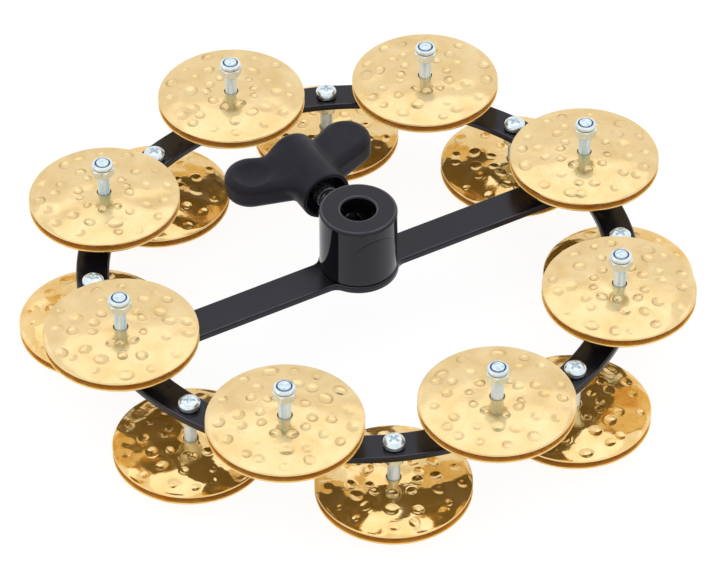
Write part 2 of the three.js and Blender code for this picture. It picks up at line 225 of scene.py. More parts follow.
# painted reflection: tint of the orange sheen that fills the lower discs' darks in place of their
# reflections of each other
PAINTED_BOUNCE_TINT = (1.0, 0.46, 0.02, 1)
# colour of the painted shade on the dents' edges
DENT_SHADE_COLOUR = (0.30, 0.17, 0.05, 1)
WORLD_LIGHT = 0.9
FLOOR_SIZE = 6.0
FLOOR_DROP = 0.2 * MM
FLOOR_GLOW = 0.88


# Mesh building


def filleted(corners, closed=True):
    """A profile through (x, y, fillet radius) corners, each replaced by an arc.

    The ends of an open profile stay as they are.
    """
    points = []
    last = len(corners) - 1
    for i, (x, y, radius) in enumerate(corners):
        here = complex(x, y)
        if not closed and i in (0, last):
            points.append(here)
            continue
        back = complex(*corners[i - 1][:2]) - here
        ahead = complex(*corners[(i + 1) % (last + 1)][:2]) - here
        back /= abs(back)
        ahead /= abs(ahead)
        half = abs(cmath.phase(ahead / back)) / 2
        bisector = (back + ahead) / abs(back + ahead)
        centre = here + bisector * radius / math.sin(half)
        start = here + back * radius / math.tan(half)
        end = here + ahead * radius / math.tan(half)
        sweep = cmath.phase((end - centre) / (start - centre))
        points.append(start + back * SUPPORT)
        for step in range(FILLET_STEPS + 1):
            turn = cmath.rect(1, sweep * step / FILLET_STEPS)
            points.append(centre + (start - centre) * turn)
        points.append(end + ahead * SUPPORT)
    return np.array([(point.real, point.imag) for point in points])


def angles_of(columns):
    return np.arange(columns) * TAU / columns


def turned(profile, columns, limit=None):
    """Grid of points of a profile of (radius, height) turned about Z, its radius kept under a limit."""
    angles = angles_of(columns)
    radius = np.repeat(profile[:, :1], columns, axis=1)
    if limit is not None:
        radius = np.minimum(radius, limit[None, :])
    height = np.repeat(profile[:, 1:2], columns, axis=1)
    return np.stack([radius * np.cos(angles), radius * np.sin(angles), height], axis=-1)


def shell(points, wrap_rows=False):
    """Vertices and faces of a grid of points whose columns close on themselves."""
    rows, columns, _ = points.shape
    numbers = np.arange(rows * columns).reshape(rows, columns)
    lower = numbers if wrap_rows else numbers[:-1]
    upper = np.roll(numbers, -1, axis=0) if wrap_rows else numbers[1:]
    next_lower = np.roll(lower, -1, axis=1)
    next_upper = np.roll(upper, -1, axis=1)
    faces = np.stack([lower, next_lower, next_upper, upper], axis=-1)
    return points.reshape(-1, 3), faces.reshape(-1, 4)


def mesh_of(name, shells, *materials, sharp=SHARP):
    """One smooth-shaded mesh of several shells, with coincident points joined."""
    vertices = []
    faces = []
    for shell_vertices, shell_faces in shells:
        faces.extend((np.asarray(shell_faces) + len(vertices)).tolist())
        vertices.extend(np.asarray(shell_vertices).tolist())
    mesh = bpy.data.meshes.new(name)
    mesh.from_pydata(vertices, [], faces)
    joined = bmesh.new()
    joined.from_mesh(mesh)
    bmesh.ops.remove_doubles(joined, verts=joined.verts, dist=WELD)
    joined.to_mesh(mesh)
    joined.free()
    for material in materials:
        mesh.materials.append(material)
    mesh.shade_smooth()
    mesh.set_sharp_from_angle(angle=sharp)
    return mesh


def add_object(name, data):
    thing = bpy.data.objects.new(name, data)
    bpy.context.scene.collection.objects.link(thing)
    return thing


def add_piece(name, mesh, body, nodes=(), place=None):
    """A piece riding on its body that stands for the given nodes; a shared mesh is copied to its place."""
    if place is not None:
        mesh = mesh.copy()
        mesh.transform(place)
    piece = add_object(name, mesh)
    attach(piece, body)
    if nodes:
        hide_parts(*nodes)
    return piece


def mark_edges(mesh, material):
    """Gives the part of a mesh's rounded edges beside its flat faces its own material, the painted edge
    highlight.
    """
    mesh.materials.append(material)
    index = len(mesh.materials) - 1
    for face in mesh.polygons:
        if EDGE_FACING[0] < abs(face.normal.z) < EDGE_FACING[1]:
            face.material_index = index


def mark_band(mesh, low, high, material):
    """Gives a mesh's faces between two heights their own material."""
    mesh.materials.append(material)
    index = len(mesh.materials) - 1
    for face in mesh.polygons:
        if low < face.center.z < high:
            face.material_index = index


def smooth_step(value):
    value = np.clip(value, 0, 1)
    return value * value * (3 - 2 * value)


def middle(node):
    """Middle of a node's box."""
    low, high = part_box(node)
    return (low + high) / 2


# Material building


def fill(node, **values):
    """The node, with plain numbers and colours on its sockets, named with _ for a space."""
    for key, value in values.items():
        node.inputs[key.replace("_", " ")].default_value = value
    return node


class Finish:
    """A material's node tree, with one principled shader, and short ways to add nodes to it."""

    def __init__(self, name):
        self.material = bpy.data.materials.new(name)
        self.material.use_nodes = True
        self.tree = self.material.node_tree
        self.shader = self.tree.nodes["Principled BSDF"]
        self.place = self.tree.nodes.new("ShaderNodeTexCoord").outputs["Object"]

    def link(self, output, node, name):
        self.tree.links.new(output, node.inputs[name])

    def node(self, kind, **values):
        return fill(self.tree.nodes.new(kind), **values)

    def noise(self, size, detail=2.0, stretch=(1, 1, 1), distortion=0.0):
        """Cloudy pattern with spots of about the given size, from 0 to 1."""
        mapping = self.node("ShaderNodeMapping", Scale=stretch)
        self.link(self.place, mapping, "Vector")
        node = self.node("ShaderNodeTexNoise", Scale=1 / size, Detail=detail, Distortion=distortion)
        self.link(mapping.outputs["Vector"], node, "Vector")
        return node.outputs["Fac"]

    def attribute(self, name):
        """A value stored on the mesh's points."""
        node = self.node("ShaderNodeAttribute")
        node.attribute_name = name
        return node.outputs["Fac"]

    def ramp(self, source, *stops):
        """Colours at positions along a pattern."""
        node = self.node("ShaderNodeValToRGB")
        elements = node.color_ramp.elements
        while len(elements) < len(stops):
            elements.new(0.5)
        for element, (position, colour) in zip(elements, stops):
            element.position = position
            element.color = (*colour, 1)
        self.link(source, node, "Fac")
        return node.outputs["Color"]

    def mix(self, factor, first, second, blend="MIX"):
        """First and second pattern or colour, mixed by a factor or a pattern."""
        node = self.node("ShaderNodeMix")
        node.data_type = "RGBA"
        node.blend_type = blend
        sockets = [node.inputs[0], node.inputs[6], node.inputs[7]]
        for socket, value in zip(sockets, (factor, first, second)):
            if isinstance(value, bpy.types.NodeSocket):
                self.tree.links.new(value, socket)
            else:
                socket.default_value = value
        return node.outputs[2]

    def colour(self, output):
        self.link(output, self.shader, "Base Color")

    def roughness(self, source, low, high):
        """Roughness between two values along a pattern."""
        node = self.node("ShaderNodeMapRange", To_Min=low, To_Max=high)
        self.link(source, node, "Value")
        self.link(node.outputs["Result"], self.shader, "Roughness")

    def bumps(self, *layers):
        """Relief of several patterns, each with its height in metres."""
        normal = None
        for source, height in layers:
            node = self.node("ShaderNodeBump", Strength=1.0, Distance=height)
            self.link(source, node, "Height")
            if normal is not None:
                self.link(normal, node, "Normal")
            normal = node.outputs["Normal"]
        self.link(normal, self.shader, "Normal")


def mottled(name, tones, rough, relief, stretch=(1, 1, 1), **values):
    """A material with clouds of colour, uneven gloss and fine relief.

    Tones, rough and each layer of relief start with their spots' size in mm and their detail. Then
    come the tones' colours, the lowest and highest roughness, and the layer's height in mm.
    """
    finish = Finish(name)
    size, detail, *stops = tones
    finish.colour(finish.ramp(finish.noise(size * MM, detail, stretch), *stops))
    size, detail, low, high = rough
    finish.roughness(finish.noise(size * MM, detail), low, high)
    finish.bumps(*[(finish.noise(size * MM, detail), height * MM) for size, detail, height in relief])
    fill(finish.shader, **values)
    return finish.material


def black_surface(name, tones, rough, relief, gloss, **values):
    """A mottled black surface with the coat's cast in its gleam."""
    return mottled(name, tones, rough, relief, Specular_IOR_Level=gloss, Specular_Tint=COAT_TINT, **values)


def coated_steel():
    """Black powder coat: smooth satin with a faint purple cast and thinner, paler clouds."""
    tones = 14, 4, (0.3, (0.004, 0.004, 0.006)), (0.7, (0.008, 0.0075, 0.011))
    relief = [(1.4, 1, 0.01), (0.3, 2, 0.002)]
    return black_surface("coated_steel", tones, (6, 5, 0.16, 0.3), relief, gloss=0.38)


def painted_edge_highlight():
    """The same coat, paler and glossier on the rounded edges: a painted highlight along them."""
    tones = 5, 5, (0.35, (0.012, 0.012, 0.019)), (0.7, (0.055, 0.055, 0.066))
    return black_surface("painted_edge_highlight", tones, (2, 4, 0.14, 0.26), [(0.8, 2, 0.004)], gloss=0.7)


def gloss_coat():
    """Deep black gloss of the hub, with a soft waviness and hairline wear."""
    tones = 9, 3, (0.3, (0.003, 0.003, 0.004)), (0.7, (0.006, 0.005, 0.008))
    return black_surface("gloss_coat", tones, (3, 5, 0.05, 0.12), [(1.8, 1, 0.006)], gloss=0.43)


def plain_sticker():
    """Dark satin film with no print on it."""
    tones = 5, 3, (0.3, (0.005, 0.005, 0.008)), (0.7, (0.008, 0.008, 0.011))
    return black_surface("plain_sticker", tones, (2, 3, 0.14, 0.24), [(0.8, 2, 0.004)], gloss=0.4)


def soft_grip():
    """Matt, slightly rubbery plastic of the knob, with a fine moulded grain."""
    tones = 7, 3, (0.3, (0.007, 0.006, 0.010)), (0.7, (0.013, 0.012, 0.017))
    relief = [(0.35, 2, 0.012), (2.5, 2, 0.03)]
    sheen = {"Sheen_Weight": 0.03, "Sheen_Roughness": 0.4}
    return black_surface("soft_grip", tones, (4, 4, 0.38, 0.55), relief, gloss=0.23, **sheen)


def dark_steel():
    """Blackened steel of the clamp screw, with paler clouds; on the lock nuts' seams it is painted shade."""
    tones = 1.5, 4, (0.35, (0.05, 0.05, 0.055)), (0.75, (0.22, 0.22, 0.235))
    return mottled("dark_steel", tones, (1.2, 3, 0.2, 0.38), [(0.4, 2, 0.008)], Metallic=0.8)


def zinc_steel():
    """Bright blue-white zinc plate, a little mottled."""
    tones = 2.2, 4, (0.3, (0.68, 0.79, 0.85)), (0.7, (0.86, 0.94, 0.98))
    return mottled("zinc_steel", tones, (1.1, 4, 0.07, 0.17), [(0.6, 2, 0.003)], Metallic=0.8)


def painted_shine_zinc():
    """Duller, barely metallic zinc on the bolts' threads: pale blue-white with streaks along them, painted
    reflection and highlights of the shanks.
    """
    tones = 1.2, 3, (0.34, (0.50, 0.73, 0.88)), (0.58, (0.89, 0.98, 1.0))
    highlight_streaks = (1, 1, 0.12)
    return mottled("painted_shine_zinc", tones, (1.1, 3, 0.12, 0.22), [(0.6, 2, 0.003)], highlight_streaks, Metallic=0.12)


def blue_nylon():
    """Blue nylon of the lock nuts' rings, scuffed by the bolts."""
    tones = 0.8, 3, (0.3, (0.005, 0.040, 0.14)), (0.7, (0.012, 0.13, 0.36))
    return mottled("blue_nylon", tones, (0.8, 3, 0.35, 0.55), [(0.3, 2, 0.01)])


def polished_brass(name, tones, shine, ripple, blur, painted_bounce):
    """Polished brass in three tones, with painted shade on the dents' edges, spots of patina, grain and soft
    waves.

    Shine is how metallic it is, ripple the waves' height, blur the highest roughness and
    painted_bounce the strength of the orange sheen, a painted reflection that fills the darks.
    """
    finish = Finish(name)
    dark, medium, light = tones
    clouds = finish.noise(9 * MM, detail=5, distortion=0.6)
    tint = finish.ramp(clouds, (0.3, dark), (0.5, medium), (0.72, light))
    spots = finish.noise(1.1 * MM, detail=4)
    patina = finish.ramp(spots, (0.6, (1, 1, 1)), (0.8, (0.90, 0.84, 0.72)))
    worn = finish.mix(1.0, tint, patina, blend="MULTIPLY")
    # painted shade: the dents' edges are darkened in the base colour
    finish.colour(finish.mix(finish.attribute(DENT_SHADE), worn, DENT_SHADE_COLOUR))
    finish.roughness(finish.noise(5 * MM, detail=5), blur / 2, blur)
    grain = finish.noise(0.45 * MM, detail=3)
    finish.bumps((finish.noise(2.4 * MM, detail=2), ripple), (grain, 0.006 * MM))
    # painted reflection: an orange sheen that lifts the darks
    sheen = {"Sheen_Weight": painted_bounce, "Sheen_Roughness": 1.0, "Sheen_Tint": PAINTED_BOUNCE_TINT}
    fill(finish.shader, Metallic=shine, **sheen)
    return finish.material


def hammered_brass():
    """Outer faces of the upper jingles."""
    tones = (0.775, 0.56, 0.26), (0.84, 0.63, 0.32), (0.89, 0.695, 0.38)
    return polished_brass("hammered_brass", tones, shine=0.95, ripple=0.03 * MM, blur=0.22, painted_bounce=0.0)


def shaded_brass():
    """Outer faces of the lower jingles: a shaded copy of the brass, with warmer tones, more painted shade on
    the dents' edges and an orange sheen as painted reflection.
    """
    tones = (0.84, 0.57, 0.22), (0.93, 0.69, 0.33), (0.97, 0.78, 0.43)
    return polished_brass("shaded_brass", tones, shine=0.95, ripple=0.06 * MM, blur=0.13, painted_bounce=0.42)


def gap_bounce_brass():
    """Inner face of the jingles: orange brown, rougher, half metallic and uneven, brightened as painted
    reflection of the light that bounces between the discs.
    """
    finish = Finish("gap_bounce_brass")
    clouds = finish.noise(4 * MM, detail=5, distortion=0.4)
    finish.colour(finish.ramp(clouds, (0.3, (0.95, 0.50, 0.07)), (0.7, (1.0, 0.70, 0.20))))
    finish.roughness(finish.noise(2 * MM, detail=4), 0.24, 0.42)
    finish.bumps((finish.noise(3 * MM, detail=1), 0.02 * MM))
    fill(finish.shader, Metallic=0.5)
    return finish.material


# Frame plate


def plate_arc(centre, radius, start, end, steps, facing):
    """Points of an arc with their normals; facing is 1 where the plate is inside the arc."""
    angles = np.linspace(start, end, steps + 1)
    around = np.column_stack([np.cos(angles), np.sin(angles)])
    return np.hstack([np.array(centre) + radius * around, facing * around])


def window_outline(ring_radius, eye_radius):
    """Clockwise outline and normals of the opening on the knob's side of the bar."""
    half = BAR_WIDTH / 2
    corner_y = half + BAR_END_FILLET
    corner_reach = ring_radius - BAR_END_FILLET
    corner_x = math.sqrt(corner_reach**2 - corner_y**2)
    corner_turn = math.asin(corner_y / corner_reach)
    flare_y = half + EYE_FILLET
    flare_reach = eye_radius + EYE_FILLET
    flare_x = math.sqrt(flare_reach**2 - flare_y**2)
    flare_turn = math.asin(flare_y / flare_reach)
    down = -math.pi / 2
    around = np.vstack([
        plate_arc((0, 0), ring_radius, corner_turn, math.pi - corner_turn, 120, -1),
        plate_arc((-corner_x, corner_y), BAR_END_FILLET, math.pi - corner_turn, down + TAU, 10, -1),
        plate_arc((-flare_x, flare_y), EYE_FILLET, down, -flare_turn, 8, -1),
        plate_arc((0, 0), eye_radius, math.pi - flare_turn, flare_turn, 32, 1),
        plate_arc((flare_x, flare_y), EYE_FILLET, math.pi + flare_turn, down + TAU, 8, -1),
        plate_arc((corner_x, corner_y), BAR_END_FILLET, down, corner_turn, 10, -1),
    ])[::-1]
    ahead = np.roll(around, -1, axis=0)
    apart = np.hypot(*(ahead - around)[:, :2].T)
    return around[apart > WELD]


def plate_shell(outline, low, high, edge):
    """Grid of points up a plate's side along an outline, over both rounded edges."""
    inset = edge + 3 * SUPPORT
    section = filleted([(-inset, low, 0), (0, low, edge), (0, high, edge), (-inset, high, 0)], closed=False)
    flat = outline[None, :, :2] + section[:, None, :1] * outline[None, :, 2:]
    height = np.repeat(section[:, 1:2], len(outline), axis=1)
    return np.concatenate([flat, height[:, :, None]], axis=-1)


def plate_face(rims, upward):
    """Triangles of a flat face between the plate's outer rim and its holes."""
    loops = [[Vector(point) for point in rim] for rim in rims]
    vertices = np.vstack(rims)
    faces = np.array(tessellate_polygon(loops))
    sides = vertices[faces[:, 1:]] - vertices[faces[:, :1]]
    rises = np.cross(sides[:, 0], sides[:, 1])[:, 2]
    wrong = (rises > 0) != upward
    faces[wrong] = faces[wrong][:, ::-1]
    return vertices, faces


def make_plate(materials):
    """Ring, cross bar and eye, with the eye's hole and the drilled bolt holes."""
    low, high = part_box("frame_plate")
    ring_outer = high.x
    eye_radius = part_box("hub")[1].x + EYE_MARGIN
    opening = window_outline(ring_outer - RING_WIDTH, eye_radius)
    outlines = [
        (plate_arc((0, 0), ring_outer, 0, TAU, 320, 1)[:-1], PLATE_EDGE),
        (opening, PLATE_EDGE),
        (-opening, PLATE_EDGE),
        (plate_arc((0, 0), SPIGOT_RADIUS + HUB_FOOT_GAP, 0, -TAU, 64, -1)[:-1], DRILLED_EDGE),
    ]
    for side in SIDES:
        for station in STATIONS:
            centre = middle(f"{side}_bolt_{station}").xy
            hole = plate_arc(centre, BOLT_RADIUS + SEAT_GAP, 0, -TAU, 24, -1)[:-1]
            outlines.append((hole, DRILLED_EDGE))
    grids = [plate_shell(outline, low.z, high.z, edge) for outline, edge in outlines]
    shells = [shell(grid) for grid in grids]
    shells.append(plate_face([grid[0] for grid in grids], upward=False))
    shells.append(plate_face([grid[-1] for grid in grids], upward=True))
    mesh = mesh_of("coated_plate", shells, materials["coated_steel"])
    # painted highlight along the plate's rounded edges
    mark_edges(mesh, materials["painted_edge_highlight"])
    add_piece("coated_plate", mesh, "frame", ["frame_plate"])


# Hub


def make_hub(materials):
    """Collar with its bore, its spigot in the plate's eye and the clamp screw's hole."""
    low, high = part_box("hub")
    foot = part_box("frame_plate")[1].z + HUB_FOOT_GAP
    profile = filleted([
        (BORE_RADIUS, low.z, HUB_FOOT_EDGE),
        (SPIGOT_RADIUS, low.z, HUB_FOOT_EDGE),
        (SPIGOT_RADIUS, foot, DRILLED_EDGE),
        (high.x, foot, HUB_FOOT_EDGE),
        (high.x, high.z, HUB_EDGE),
        (BORE_RADIUS, high.z, BORE_EDGE),
    ])
    collar_shell = shell(turned(profile, columns=144), wrap_rows=True)
    mesh = mesh_of("hub_collar", [collar_shell], materials["gloss_coat"])
    collar = add_object("uncut_collar", mesh)
    cutter = add_object("clamp_hole", clamp_hole_mesh(high.x))
    cut = collar.modifiers.new("clamp_hole", "BOOLEAN")
    cut.object = cutter
    cut.operation = "DIFFERENCE"
    cut.solver = "EXACT"
    bpy.context.view_layer.update()
    ready = collar.evaluated_get(bpy.context.evaluated_depsgraph_get())
    drilled = bpy.data.meshes.new_from_object(ready)
    drilled.set_sharp_from_angle(angle=SHARP)
    # painted highlight along the hub's rounded edges
    mark_edges(drilled, materials["painted_edge_highlight"])
    for part in (collar, cutter):
        bpy.data.objects.remove(part)
    add_piece("hub_collar", drilled, "frame", ["hub"])


def clamp_hole_mesh(hub_radius):
    """Cutter for the clamp screw's hole, from the bore out along +Y."""
    radius = KNOB_HOLE_RADIUS
    reach = hub_radius * 1.2
    height = middle("clamp_screw").z
    ends = np.array([(0, 0), (radius, 0), (radius, reach), (0, reach)])
    vertices, faces = shell(turned(ends, columns=48))
    along = vertices[:, [0, 2, 1]] * np.array([-1, 1, 1])
    return mesh_of("clamp_hole", [(along + np.array([0, 0, height]), faces)])


def make_sticker(materials):
    """Round film bent round the hub's side; its face is bare."""
    hub_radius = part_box("hub")[1].x
    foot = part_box("frame_plate")[1].z + HUB_FOOT_GAP
    rise = STICKER_FILM
    edge = rise / 3
    section = filleted([
        (0, rise, 0),
        (STICKER_RADIUS, rise, edge),
        (STICKER_RADIUS, 0, edge / 2),
        (0, 0, 0),
    ], closed=False)
    inner = np.column_stack([np.linspace(0, section[1, 0], 10)[:-1], np.full(9, rise)])
    section = np.vstack([inner, section[1:]])
    angles = angles_of(72)
    across = section[:, :1] * np.cos(angles)[None, :]
    upward = section[:, :1] * np.sin(angles)[None, :]
    turn = STICKER_TURN + across / hub_radius
    radius = hub_radius + section[:, 1:2] * np.ones_like(across)
    height = foot + STICKER_HEIGHT + upward
    points = np.stack([radius * np.cos(turn), radius * np.sin(turn), height], axis=-1)
    mesh = mesh_of("bare_sticker", [shell(points[::-1])], materials["plain_sticker"])
    add_piece("bare_sticker", mesh, "frame")


# Threads, bolts and nuts


def threaded_grid(start, end, radius, pitch, depth, columns, bevel):
    """Points of a threaded rod about Z, closed at both ends, with bevelled ends."""
    rows = int((end - start) / pitch * THREAD_ROWS)
    height = np.linspace(start, end, rows)[:, None]
    angles = angles_of(columns)[None, :]
    wave = 0.5 + 0.5 * np.cos(TAU * height / pitch - angles)
    groove = smooth_step(wave * GROOVE_GAIN - GROOVE_SHIFT)
    from_end = np.minimum(height - start, end - height)
    limit = radius - depth - bevel + from_end * END_SLOPE
    across = np.minimum(radius - depth * groove, limit)
    points = np.stack([across * np.cos(angles), across * np.sin(angles), height + 0 * angles], axis=-1)
    first = points[:1] * np.array([0, 0, 1])
    last = points[-1:] * np.array([0, 0, 1])
    return np.concatenate([first, points, last])


def cross_recess(x, y):
    """Depth of the driver's cross under a screw head's face."""
    def arm(along, over):
        side = smooth_step((CROSS_WIDTH / 2 - np.abs(over)) / CROSS_SIDE_RUN + 0.5)
        end = smooth_step((CROSS_REACH - np.abs(along)) / CROSS_END_RUN)
        return side * end

    arms = np.maximum(arm(x, y), arm(y, x))
    centre = smooth_step(1 - np.hypot(x, y) / CROSS_CENTRE_RADIUS)
    return CROSS_DEPTH * np.maximum(arms * CROSS_ARM_DEPTH, centre)


def head_grid(bottom, top):
    """Pan head with its face down at bottom and its bearing face at top."""
    face_edge, rim_edge, top_edge = HEAD_EDGES
    profile = filleted([
        (0, bottom, 0),
        (HEAD_RADIUS * HEAD_FACE, bottom + HEAD_CROWN, face_edge),
        (HEAD_RADIUS, bottom + HEAD_RIM_HEIGHT, rim_edge),
        (HEAD_RADIUS, top, top_edge),
        (0, top, 0),
    ], closed=False)
    reach = CROSS_REACH + CROSS_MARGIN
    crown = profile[: FILLET_STEPS + 3]
    face_radius = np.linspace(0, reach, 22)[:-1]
    face_height = np.interp(face_radius, crown[:, 0], crown[:, 1])
    face = np.column_stack([face_radius, face_height])
    points = turned(np.vstack([face, profile[profile[:, 0] > reach], profile[-1:]]), columns=80)
    dip = cross_recess(points[: len(face), :, 0], points[: len(face), :, 1])
    points[: len(face), :, 2] += dip
    return points


def hexagon(columns):
    """Radius of a hexagon with slightly rounded corners, at each column."""
    angles = angles_of(columns)
    sides = np.arange(6)[:, None] * TAU / 6
    toward = np.maximum(np.cos(angles[None, :] - sides), 0) ** CORNER_SHARPNESS
    return NUT_FLATS / 2 / toward.sum(axis=0) ** (1 / CORNER_SHARPNESS)


def nut_profile(height):
    """Profile of a hexagon nut from its bore's lower edge round to the upper chamfer's inner circle."""
    steps = np.linspace(0, 1, 7)
    reach = NUT_FLATS / math.sqrt(3) * CHAMFER_REACH - NUT_CHAMFER_RADIUS
    cone = np.column_stack([NUT_CHAMFER_RADIUS + reach * steps, NUT_CHAMFER_RISE * steps])
    bevel = [(NUT_BORE_RADIUS, NUT_BORE_BEVEL), (NUT_BORE_RADIUS + NUT_BORE_BEVEL, 0)]
    return np.vstack([bevel, cone, cone[::-1] * [1, -1] + [0, height]])


def clamp_nut_grid():
    """Hexagon nut from height 0 up, chamfered on both faces."""
    lower = nut_profile(NUT_HEIGHT)
    upper = lower[1::-1] * [1, -1] + [0, NUT_HEIGHT]
    return turned(np.vstack([lower, upper]), NUT_COLUMNS, hexagon(NUT_COLUMNS))


def lock_nut_grid():
    """Lock nut from its bearing face up: hexagon, round collar and rolled lip over the nylon."""
    seam = LOCK_HEX_HEIGHT + NUT_CHAMFER_RISE
    collar = filleted([
        (NUT_CHAMFER_RADIUS, seam, 0),
        (COLLAR_RADIUS - SEAM_DEPTH, seam, FINE_EDGE),
        (COLLAR_RADIUS - SEAM_DEPTH, seam + SEAM_HEIGHT, FINE_EDGE),
        (COLLAR_RADIUS, seam + SEAM_HEIGHT, 2 * FINE_EDGE),
        (COLLAR_RADIUS, COLLAR_TOP - COLLAR_CROWN, COLLAR_EDGE),
        (COLLAR_LIP_RADIUS, COLLAR_TOP, COLLAR_LIP_EDGE),
        (COLLAR_LIP_RADIUS, NYLON_TOP - NYLON_SEAT, 0),
    ], closed=False)[1:]
    inner = [(NUT_BORE_RADIUS, NYLON_TOP - NYLON_SEAT)]
    rows = np.vstack([nut_profile(seam), collar, inner])
    return turned(rows, NUT_COLUMNS, hexagon(NUT_COLUMNS))


def nylon_grid():
    """Nylon ring inside a lock nut's collar, squeezed up round the bolt."""
    inner = BOLT_RADIUS - BOLT_THREAD_DEPTH
    bottom = NYLON_TOP - NYLON_HEIGHT
    profile = filleted([
        (inner, bottom, FINE_EDGE),
        (COLLAR_LIP_RADIUS, bottom, FINE_EDGE),
        (COLLAR_LIP_RADIUS, NYLON_TOP - NYLON_SAG, 2 * FINE_EDGE),
        (inner, NYLON_TOP, NYLON_SAG),
    ])
    return turned(profile, columns=48)


def fastener_meshes(materials, reach):
    """Shared meshes of screw, clamp nut, lock nut and nylon ring, clamped on a face at height 0."""
    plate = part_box("frame_plate")
    bearing = plate[0].z - plate[1].z - SEAT_GAP
    head = head_grid(bearing - HEAD_HEIGHT, bearing)
    size = BOLT_RADIUS, BOLT_PITCH, BOLT_THREAD_DEPTH
    thread = threaded_grid(bearing - SEAT_GAP, reach, *size, columns=32, bevel=BOLT_END_BEVEL)
    zinc = materials["zinc_steel"]
    clamp_nut = clamp_nut_grid() + np.array([0, 0, SEAT_GAP])
    lift = np.array([0, 0, reach - LOCK_NUT_HEIGHT])
    lock_nut = mesh_of("lock_nut", [shell(lock_nut_grid() + lift, wrap_rows=True)], zinc)
    seam = lift[2] + LOCK_HEX_HEIGHT + NUT_CHAMFER_RISE
    # painted shade in the groove between hexagon and collar
    mark_band(lock_nut, seam - SUPPORT / 2, seam + SEAM_HEIGHT + SUPPORT / 2, materials["dark_steel"])
    screw = mesh_of("jingle_screw", [shell(head), shell(thread)], zinc)
    # painted reflection and highlights on the bolts' threads
    mark_band(screw, bearing, reach + SUPPORT, materials["painted_shine_zinc"])
    nylon = shell(nylon_grid() + lift, wrap_rows=True)
    return {
        "screw": screw,
        "clamp_nut": mesh_of("clamp_nut", [shell(clamp_nut, wrap_rows=True)], zinc),
        "lock_nut": lock_nut,
        "nylon_ring": mesh_of("nylon_ring", [nylon], materials["blue_nylon"]),
    }


def make_fasteners(materials, draw):
    """Screw, clamp nut, lock nut and nylon ring at each station."""
    plate_low, plate_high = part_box("frame_plate")
    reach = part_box("upper_bolt_1")[1].z - plate_high.z
    meshes = fastener_meshes(materials, reach)
    for side in SIDES:
        for station in STATIONS:
            centre = middle(f"{side}_bolt_{station}")
            height = plate_high.z if side == "upper" else plate_low.z
            flip = Matrix() if side == "upper" else Matrix.Rotation(math.pi, 4, "X")
            foot = Matrix.Translation((centre.x, centre.y, height))
            nodes = {"screw": [f"{side}_bolt_{station}"]}
            if side == "upper":
                nodes["lock_nut"] = [f"upper_lock_nut_{station}"]
            for kind, mesh in meshes.items():
                spin = Matrix.Rotation(draw.uniform(0, TAU), 4, "Z")
                name = f"{side}_{kind}_{station}"
                add_piece(name, mesh, "frame", nodes.get(kind, ()), foot @ spin @ flip)


def make_clamp_screw(materials):
    """Threaded rod through the hub's side, with a smooth shoulder that stands in the knob."""
    low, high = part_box("clamp_screw")
    radius = (high.x - low.x) / 2
    length = high.y - low.y
    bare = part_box("wing_knob")[0].y - SHOULDER_FROM_FRONT - low.y
    size = CLAMP_THREAD_RADIUS, CLAMP_PITCH, CLAMP_THREAD_DEPTH
    thread = threaded_grid(0, bare, *size, columns=48, bevel=CLAMP_END_BEVEL)
    shoulder = turned(filleted([
        (0, bare - SUPPORT, 0),
        (radius, bare - SUPPORT, SHOULDER_EDGE),
        (radius, length, SHOULDER_EDGE),
        (0, length, 0),
    ], closed=False), columns=48)
    mesh = mesh_of("clamp_rod", [shell(thread), shell(shoulder)], materials["dark_steel"])
    along = Matrix.Rotation(-math.pi / 2, 4, "X")
    start = Matrix.Translation((0, low.y, (low.z + high.z) / 2))
    add_piece("clamp_rod", mesh, "clamp_screw", ["clamp_screw"], start @ along)


# Wing knob


def rounded_box_field(across, along, half_across, half_along, edge):
    """Signed distance to a rectangle with rounded corners, in the plane."""
    over = np.stack([np.abs(across) - half_across + edge, np.abs(along) - half_along + edge])
    outside = np.hypot(*np.maximum(over, 0))
    inside = np.minimum(over.max(axis=0), 0)
    return outside + inside - edge


def blended(first, second, blend):
    """Smallest of two distances, with a fillet where they meet."""
    share = np.clip(0.5 + 0.5 * (second - first) / blend, 0, 1)
    return second * (1 - share) + first * share - blend * share * (1 - share)


def wing_plan(across, along):
    """Signed distance in the wings' plane: a round end and the tangents to a smaller root circle."""
    rise = WING_TIP_ALONG - WING_ROOT_ALONG
    span = math.hypot(WING_TIP_ACROSS, rise)
    outward = (across * WING_TIP_ACROSS + (along - WING_ROOT_ALONG) * rise) / span
    aside = np.abs((along - WING_ROOT_ALONG) * WING_TIP_ACROSS - across * rise) / span
    taper = (WING_ROOT_RADIUS - WING_TIP_RADIUS) / span
    steady = math.sqrt(1 - taper**2)
    share = steady * outward - taper * aside
    at_root = np.hypot(aside, outward) - WING_ROOT_RADIUS
    at_tip = np.hypot(aside, outward - span) - WING_TIP_RADIUS
    between = aside * steady + outward * taper - WING_ROOT_RADIUS
    return np.where(share < 0, at_root, np.where(share > steady * span, at_tip, between))


